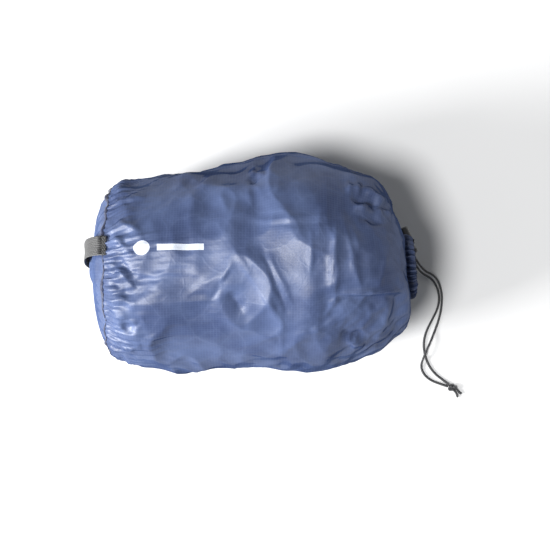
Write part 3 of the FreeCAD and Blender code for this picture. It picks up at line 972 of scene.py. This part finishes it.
def even_points(points, step):
    """The same line with points evenly spaced by about step."""
    run = [0.0]
    for n in range(len(points) - 1):
        run.append(run[-1] + (points[n + 1] - points[n]).length)
    count = max(2, int(run[-1] / step) + 1)
    wanted = np.linspace(0.0, run[-1], count)
    axes = [np.interp(wanted, run, [p[axis] for p in points]) for axis in range(3)]
    return [Vector(p) for p in zip(*axes)]


def braided_tube(name, line, diameter, closed_ends=True, sides=16):
    """A round braided cord along a line of points: little bumps run round it both ways."""
    path = even_points(line, diameter * 0.16)
    points = []
    uv = []
    side_way = Vector((0.31, 0.22, 0.93))
    run = 0.0
    count = len(path)
    for n, middle in enumerate(path):
        ahead = (path[min(n + 1, count - 1)] - path[max(n - 1, 0)]).normalized()
        side_way = (side_way - ahead * side_way.dot(ahead)).normalized()
        other = ahead.cross(side_way)
        if n:
            run += (middle - path[n - 1]).length
        end = min(n, count - 1 - n)
        narrow = 1.0
        if closed_ends and end < 3:
            narrow = (0.35, 0.75, 0.94)[end]
        for side in range(sides):
            turn = 2 * pi * side / sides
            winding = 2 * pi * run / (diameter * 1.6)
            weave = sin(4 * turn + winding) * sin(4 * turn - winding)
            reach = diameter / 2 * narrow * (0.97 + 0.07 * weave)
            around = side_way * reach * cos(turn) + other * reach * sin(turn)
            points.append(middle + around)
            uv.append((turn / (2 * pi) * diameter * 3, run))
    faces = grid_faces(count, sides)
    faces.append(tuple(reversed(range(sides))))
    faces.append(tuple((count - 1) * sides + side for side in range(sides)))
    tube = mesh_object(name, points, faces)
    set_uv(tube, uv, diameter * 3)
    return tube


def strand(name, route):
    """One strand of the drawcord, and the points of the line it follows."""
    guide = route_curve(name + "_line", route)
    line = line_points(guide)
    bpy.data.objects.remove(guide)
    return braided_tube(name, line, CORD_DIAMETER), line


def knot():
    """The two strands tied together in an overhand knot, pulled tight."""
    across = Vector((0, 0, 1)).cross(KNOT_ALONG)
    parts = []
    for number, shift in enumerate((-0.0007, 0.0007)):
        loop = []
        for step in range(97):
            turn = 2 * pi * step / 96
            along = (sin(turn) + 2 * sin(2 * turn)) * 0.00118
            side = (cos(turn) - 2 * cos(2 * turn)) * 0.00098
            height = -sin(3 * turn) * 0.00125
            place = KNOT_MIDDLE + KNOT_ALONG * (along + shift) + across * (side + shift)
            loop.append(place + Vector((0, 0, height + shift * 0.4)))
        parts.append(braided_tube(f"knot_turn_{number}", loop, CORD_DIAMETER * 0.92, False, 12))
    return joined("drawcord_knot", parts)


def tails():
    """The two cut cord ends past the knot."""
    parts = []
    for number, swing in enumerate((-0.24, 0.22)):
        heading = atan2(KNOT_ALONG.y, KNOT_ALONG.x) + swing
        way = Vector((cos(heading), sin(heading), 0))
        side = Vector((-way.y, way.x, 0))
        start = KNOT_MIDDLE + way * 0.0030
        line = [
            start + way * (0.0105 * n / 12) + side * 0.0008 * sin(n / 3.0 + number)
            + Vector((0, 0, -0.0022 * (n / 12) ** 0.7))
            for n in range(13)
        ]
        parts.append(braided_tube(f"tail_{number}", line, CORD_DIAMETER))
    return joined("drawcord_tails", parts)


def joined(name, parts):
    """Several meshes as one piece."""
    mesh = bmesh.new()
    for part in parts:
        mesh.from_mesh(part.data)
    data = bpy.data.meshes.new(name)
    mesh.to_mesh(data)
    mesh.free()
    shade_smooth(data)
    for part in parts:
        bpy.data.objects.remove(part)
    return placed(name, data)


# ---- lock spring


def lock_spring():
    """The spring, as a piece of its own; the real spring shortens when the plunger goes in."""
    source = NODES["cord_lock_spring"]
    coil = placed("lock_spring", source.data.copy())
    coil.data.transform(source.matrix_world)
    return coil


# ---- materials


def new_material(name):
    """A material, its node tree and its surface shader."""
    material = bpy.data.materials.new(name)
    material.use_nodes = True
    tree = material.node_tree
    return material, tree, tree.nodes["Principled BSDF"]


def feed(tree, socket, value):
    """Link a socket to another node's output, or set it to a number or a colour."""
    if isinstance(value, bpy.types.NodeSocket):
        tree.links.new(value, socket)
    else:
        socket.default_value = value


def add_node(tree, kind, **inputs):
    """Add a node and feed its inputs."""
    node = tree.nodes.new(kind)
    for key, value in inputs.items():
        feed(tree, node.inputs[key], value)
    return node


def noise_map(tree, place, scale, detail=2.0):
    """Smooth noise over the piece's own space."""
    node = add_node(tree, "ShaderNodeTexNoise", Vector=place, Scale=scale, Detail=detail)
    return node.outputs[0]


def dress(tree, shader, colour, roughness):
    """Give the surface its colour and its roughness."""
    feed(tree, shader.inputs["Base Color"], colour)
    feed(tree, shader.inputs["Roughness"], roughness)


def object_place(tree):
    return add_node(tree, "ShaderNodeTexCoord").outputs["Object"]


def math_node(tree, operation, first, second=0.0, third=0.0):
    node = tree.nodes.new("ShaderNodeMath")
    node.operation = operation
    for socket, value in zip(node.inputs, (first, second, third)):
        feed(tree, socket, value)
    return node.outputs[0]


def mix_colours(tree, share, first, second):
    node = tree.nodes.new("ShaderNodeMix")
    node.data_type = "RGBA"
    for index, value in ((0, share), (6, first), (7, second)):
        feed(tree, node.inputs[index], value)
    return node.outputs[2]


def ramp(tree, value, stops):
    """A colour ramp through (place, brightness) stops."""
    node = tree.nodes.new("ShaderNodeValToRGB")
    tree.links.new(value, node.inputs[0])
    while len(node.color_ramp.elements) < len(stops):
        node.color_ramp.elements.new(0.5)
    for element, (place, level) in zip(node.color_ramp.elements, stops):
        element.position = place
        element.color = (level, level, level, 1)
    return node.outputs[0]


def bump(tree, shader, height, strength, distance, below=None):
    """Raise the surface by a height, over another bump if one is given."""
    node = add_node(tree, "ShaderNodeBump", Strength=strength, Distance=distance, Height=height)
    if below is not None:
        tree.links.new(below, node.inputs["Normal"])
    tree.links.new(node.outputs[0], shader.inputs["Normal"])
    return node.outputs[0]


def grid_lines(tree, vector, spacing, width):
    """1 on the raised threads of a square grid drawn in the cloth's own metres, else 0."""
    parts = add_node(tree, "ShaderNodeSeparateXYZ", Vector=vector)
    lines = None
    for output in (parts.outputs[0], parts.outputs[1]):
        scaled = math_node(tree, "DIVIDE", output, spacing)
        place = math_node(tree, "FRACT", scaled)
        away = math_node(tree, "ABSOLUTE", math_node(tree, "SUBTRACT", place, 0.5))
        line = math_node(tree, "LESS_THAN", away, width / spacing / 2)
        lines = line if lines is None else math_node(tree, "MAXIMUM", lines, line)
    return lines


NAVY = (0.032, 0.048, 0.112, 1)
PALE_BLUE = (0.066, 0.094, 0.190, 1)
# pale blue of the painted highlight along the crease lines
CREASE_HIGHLIGHT_BLUE = (0.33, 0.42, 0.66, 1)
THREAD_BLUE = (0.20, 0.27, 0.48, 1)
PRINT_GREY = (0.62, 0.66, 0.74, 1)
RIPSTOP_SPACING = 0.0030
RIPSTOP_THREAD = 0.00055
CRUMPLES_PER_METRE = 30.0


def ripstop(name, deep=NAVY, light=PALE_BLUE, print_mask=None):
    """Shiny coated nylon: ripstop grid, fine weave and hard little crumples."""
    material, tree, shader = new_material(name)
    cloth = add_node(tree, "ShaderNodeUVMap").outputs[0]
    place = object_place(tree)
    lines = grid_lines(tree, cloth, RIPSTOP_SPACING, RIPSTOP_THREAD)
    broad = noise_map(tree, place, 22.0, 4.0)
    fine = noise_map(tree, place, 900.0)
    bent = noise_map(tree, place, CRUMPLES_PER_METRE).node.outputs["Color"]
    shifted = tree.nodes.new("ShaderNodeMix")
    shifted.data_type = "VECTOR"
    for index, value in ((0, 0.03), (4, place), (5, bent)):
        feed(tree, shifted.inputs[index], value)
    warped = shifted.outputs[1]
    cells = add_node(tree, "ShaderNodeTexVoronoi", Vector=warped, Scale=CRUMPLES_PER_METRE)
    cells.feature = "DISTANCE_TO_EDGE"
    creases = ramp(tree, cells.outputs["Distance"], ((0.0, 1.0), (0.05, 0.35), (0.16, 0.0)))
    soft = ramp(tree, broad, ((0.35, 0.0), (0.68, 1.0)))
    tone = mix_colours(tree, soft, deep, light)
    # the crease lines are lightened towards pale blue: a painted highlight along the crease ridges
    crease_highlight = math_node(tree, "MULTIPLY", creases, 0.03)
    tone = mix_colours(tree, crease_highlight, tone, CREASE_HIGHLIGHT_BLUE)
    thread = math_node(tree, "MULTIPLY", lines, 0.07)
    tone = mix_colours(tree, thread, tone, THREAD_BLUE)
    rough = math_node(tree, "MULTIPLY_ADD", fine, 0.16, 0.36)
    if print_mask is not None:
        mask = print_mask(tree, cloth)
        mask = math_node(tree, "MULTIPLY", mask, 0.86)
        tone = mix_colours(tree, mask, tone, PRINT_GREY)
    dress(tree, shader, tone, rough)
    # cloth that faces sideways or down is duller, so the pale floor doesn't glare in it
    facing = add_node(tree, "ShaderNodeNewGeometry").outputs["Normal"]
    upward = add_node(tree, "ShaderNodeSeparateXYZ", Vector=facing).outputs[2]
    level = math_node(tree, "MULTIPLY_ADD", upward, 0.90, -0.34)
    level.node.use_clamp = True
    tree.links.new(level, shader.inputs["Specular IOR Level"])
    crumple = bump(tree, shader, creases, 0.10, 0.0010)
    ripple = noise_map(tree, place, 120.0, 3.0)
    rippled = bump(tree, shader, ripple, 0.35, 0.0010, crumple)
    bump(tree, shader, lines, 0.2, 0.00008, rippled)
    return material


def woven(name, dark, light, spacing, roughness):
    """Plain woven or braided yarn: a small chequer of threads in the piece's own UVs."""
    material, tree, shader = new_material(name)
    cloth = add_node(tree, "ShaderNodeUVMap").outputs[0]
    chequer = add_node(tree, "ShaderNodeTexChecker", Vector=cloth, Scale=1.0 / spacing).outputs["Fac"]
    fuzz = noise_map(tree, object_place(tree), 380.0, 3.0)
    share = math_node(tree, "MULTIPLY", math_node(tree, "ADD", chequer, fuzz), 0.5)
    dress(tree, shader, mix_colours(tree, share, dark, light), roughness)
    shader.inputs["Sheen Weight"].default_value = 0.1
    bump(tree, shader, share, 0.4, 0.0002)
    return material


def moulded_plastic():
    """Fine-grained black moulded plastic for the cord lock."""
    material, tree, shader = new_material("lock_plastic")
    place = object_place(tree)
    grain = noise_map(tree, place, 2600.0)
    cloud = noise_map(tree, place, 90.0, 3.0)
    tone = mix_colours(tree, cloud, (0.010, 0.010, 0.012, 1), (0.030, 0.031, 0.036, 1))
    dress(tree, shader, tone, math_node(tree, "MULTIPLY_ADD", cloud, 0.2, 0.32))
    bump(tree, shader, grain, 0.25, 0.00006)
    return material


def spring_steel():
    """Drawn spring wire."""
    material, tree, shader = new_material("spring_steel")
    drawn = noise_map(tree, object_place(tree), 900.0, 4.0)
    tone = mix_colours(tree, drawn, (0.38, 0.39, 0.41, 1), (0.62, 0.62, 0.63, 1))
    dress(tree, shader, tone, 0.28)
    shader.inputs["Metallic"].default_value = 1.0
    bump(tree, shader, drawn, 0.2, 0.00004)
    return material


# ---- camera, floor and light


# The lens in millimetres, and a place above the sack.
SENSOR_WIDTH = 36
LENS = 89.3
CAMERA_PLACE = (0.02365, -0.01265, 1.611)
FLOOR_HALF = 9


def camera():
    """Straight down, a little off the sack's middle."""
    data = bpy.data.cameras.new("camera")
    data.sensor_width = SENSOR_WIDTH
    data.lens = LENS
    data.clip_start = 0.01
    thing = placed("camera", data)
    thing.location = CAMERA_PLACE
    bpy.context.scene.camera = thing


def floor():
    """A plain white studio floor."""
    far = FLOOR_HALF
    corners = [(-far, -far, 0), (far, -far, 0), (far, far, 0), (-far, far, 0)]
    ground = mesh_object("floor", corners, [(0, 1, 2, 3)])
    material, tree, shader = new_material("studio_floor")
    paper = noise_map(tree, object_place(tree), 4.0)
    tone = mix_colours(tree, paper, (0.60, 0.60, 0.60, 1), (0.63, 0.63, 0.63, 1))
    dress(tree, shader, tone, 0.9)
    ground.data.materials.append(material)


KEY_WATTS = 54
FILL_WATTS = 2
SUN_STRENGTH = 3.5
BACKDROP_SEEN = 0.72
BACKDROP_LIGHT = 0.20


def aim(light, way):
    """Turn a light to shine that way."""
    light.rotation_euler = way.to_track_quat("-Z", "Y").to_euler()


def soft_light(name, place, target, power, size):
    """One square area light looking at a target."""
    data = bpy.data.lights.new(name, "AREA")
    data.energy = power
    data.shape = "SQUARE"
    data.size = size
    thing = placed(name, data)
    thing.location = place
    aim(thing, target - Vector(place))


def studio():
    """A bright window from the left, a soft high sun and a pale backdrop."""
    world = bpy.data.worlds.new("studio")
    world.use_nodes = True
    tree = world.node_tree
    shade = tree.nodes["Background"]
    shade.inputs["Color"].default_value = (0.93, 0.96, 1.0, 1)
    seen = add_node(tree, "ShaderNodeLightPath").outputs["Is Camera Ray"]
    strength = math_node(tree, "MULTIPLY_ADD", seen, BACKDROP_SEEN, BACKDROP_LIGHT)
    tree.links.new(strength, shade.inputs["Strength"])
    bpy.context.scene.world = world
    bpy.context.scene.view_settings.view_transform = "Standard"
    middle = Vector((0.0, 0.0, 0.11))
    soft_light("key", (-1.40, -0.50, 0.95), middle, KEY_WATTS, 0.5)
    soft_light("fill", (1.2, 0.4, 1.6), middle, FILL_WATTS, 0.9)
    data = bpy.data.lights.new("high_sun", "SUN")
    data.energy = SUN_STRENGTH
    data.angle = 0.30
    aim(placed("high_sun", data), Vector((0.72, 0.33, -1.9)))


# ---- making it all


def wear(thing, material):
    """Give a piece its one material."""
    thing.data.materials.clear()
    thing.data.materials.append(material)
    return thing


camera()
studio()
floor()

cord_look = woven("cord_yarn", (0.008, 0.008, 0.009, 1), (0.040, 0.041, 0.046, 1), 0.0006, 0.55)
thread_look = woven("navy_thread", (0.008, 0.012, 0.035, 1), (0.022, 0.030, 0.075, 1), 0.0004, 0.6)
tack_look = woven("black_thread", (0.006, 0.006, 0.007, 1), (0.030, 0.030, 0.033, 1), 0.0004, 0.6)
# the webbing's yarn is painted lighter than the other black yarns: its own dark grey with painted
# sheen
webbing_look = woven("webbing_yarn", (0.014, 0.014, 0.015, 1), (0.075, 0.075, 0.075, 1), 0.0018, 0.55)
tape_look = woven("binding_yarn", (0.010, 0.014, 0.040, 1), (0.026, 0.036, 0.090, 1), 0.0010, 0.5)
lining_look = ripstop("load_cloth", (0.012, 0.016, 0.034, 1), (0.028, 0.036, 0.070, 1))

outer, outer_line = strand("drawcord_outer", OUTER_ROUTE)
inner, inner_line = strand("drawcord_inner", INNER_ROUTE)
knot_piece = knot()
tail_pieces = tails()
for piece in (outer, inner, knot_piece, tail_pieces):
    wear(piece, cord_look)
    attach(piece, "sack")

load = packed_load()
body, body_grid, body_length = body_cloth(load)
surface = Surface(body, body_grid)
tuck_inside(load, body)
base = base_cloth(load)
hem = hem_cloth()
hem_cord = cord_in_hem()
seam = side_seam(surface)
base_threads = base_stitching(surface)
hem_threads = hem_stitching([v.co.copy() for v in hem.data.vertices])
tape = seam_tape()
upper_strap = webbing_half("webbing_upper", 1)
lower_strap = webbing_half("webbing_lower", -1)
tacks = handle_tacks()


# The printed mark: where it is round the sack and from the base seam, and its sizes.
MARK_ACROSS = CLOTH_AROUND * 0.215
MARK_ALONG = 0.045
DOT_RADIUS = 0.0085
BAR_HALF_WIDTH = 0.0036
BAR_HALF_LENGTH = 0.024
BAR_PAST_DOT = 0.040


def print_mask(tree, cloth):
    """A plain round dot and bar, standing for the printed mark."""
    parts = add_node(tree, "ShaderNodeSeparateXYZ", Vector=cloth)
    across = math_node(tree, "SUBTRACT", parts.outputs[0], MARK_ACROSS)
    along = math_node(tree, "SUBTRACT", parts.outputs[1], MARK_ALONG)
    wide = math_node(tree, "POWER", math_node(tree, "DIVIDE", across, DOT_RADIUS), 2.0)
    high = math_node(tree, "POWER", math_node(tree, "DIVIDE", along, DOT_RADIUS), 2.0)
    dot = math_node(tree, "LESS_THAN", math_node(tree, "ADD", wide, high), 1.0)
    bar_side = math_node(tree, "ABSOLUTE", across)
    bar_along = math_node(tree, "ABSOLUTE", math_node(tree, "SUBTRACT", along, BAR_PAST_DOT))
    within = math_node(tree, "LESS_THAN", bar_side, BAR_HALF_WIDTH)
    beside = math_node(tree, "LESS_THAN", bar_along, BAR_HALF_LENGTH)
    return math_node(tree, "MAXIMUM", dot, math_node(tree, "MULTIPLY", within, beside))


# Every other piece's look and slot, then the bodies they move with.
seam_look = ripstop("ripstop_nylon")
# the base panel's ripstop is painted lighter than the body's: painted light and sheen on the end the
# key light faces
base_lit_look = ripstop("ripstop_base_lit", (0.044, 0.064, 0.138, 1), (0.088, 0.122, 0.230, 1))
# the hem's ripstop is painted darker than the body's: painted shade on the mouth end, away from the
# key light
hem_shaded_look = ripstop("ripstop_hem_shaded", (0.018, 0.027, 0.066, 1), (0.040, 0.058, 0.125, 1))
body_look = ripstop("ripstop_printed", print_mask=print_mask)
for piece, look, slot in (
    (body, body_look, "ripstop"),
    (base, base_lit_look, "ripstop"),
    (seam, seam_look, "ripstop"),
    (hem, hem_shaded_look, "ripstop"),
    (load, lining_look, "load_cloth"),
    (hem_cord, cord_look, "cord"),
    (tape, tape_look, "binding_tape"),
    (base_threads, thread_look, "navy_thread"),
    (hem_threads, thread_look, "navy_thread"),
    (upper_strap, webbing_look, "webbing"),
    (lower_strap, webbing_look, "webbing"),
    (tacks, tack_look, "black_thread"),
):
    wear(piece, look)
add_subdivision(base, 1)

for piece in (load, body, base, hem, hem_cord, seam, base_threads, hem_threads, tape, tacks):
    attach(piece, "sack")
for piece, side in ((upper_strap, 1), (lower_strap, -1)):
    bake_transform(piece)

coil = wear(lock_spring(), spring_steel())
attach(coil, "cord_lock")
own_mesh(coil)

plastic = moulded_plastic()
for node, look in (
    ("cord_lock_barrel", plastic),
    ("cord_lock_plunger", plastic),
    ("cord_exit_bartacks", tack_look),
):
    NODES[node].data.materials.clear()
    NODES[node].data.materials.append(look)

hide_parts("body_panel")
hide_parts("base_panel")
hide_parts("hem_channel")
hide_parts("cord_lock_spring")
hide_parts("drawcord_loop")
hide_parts("packed_load")
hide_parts("side_seam")
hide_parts("base_seam_binding")
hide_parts("base_seam_stitching")
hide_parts("hem_stitching")
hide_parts("grab_handle", "handle_end_upper")
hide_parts("grab_handle", "handle_end_lower")
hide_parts("handle_bartacks")
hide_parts("drawcord_strand_outer")
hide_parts("drawcord_strand_inner")
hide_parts("cord_knot")
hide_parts("cord_tails")
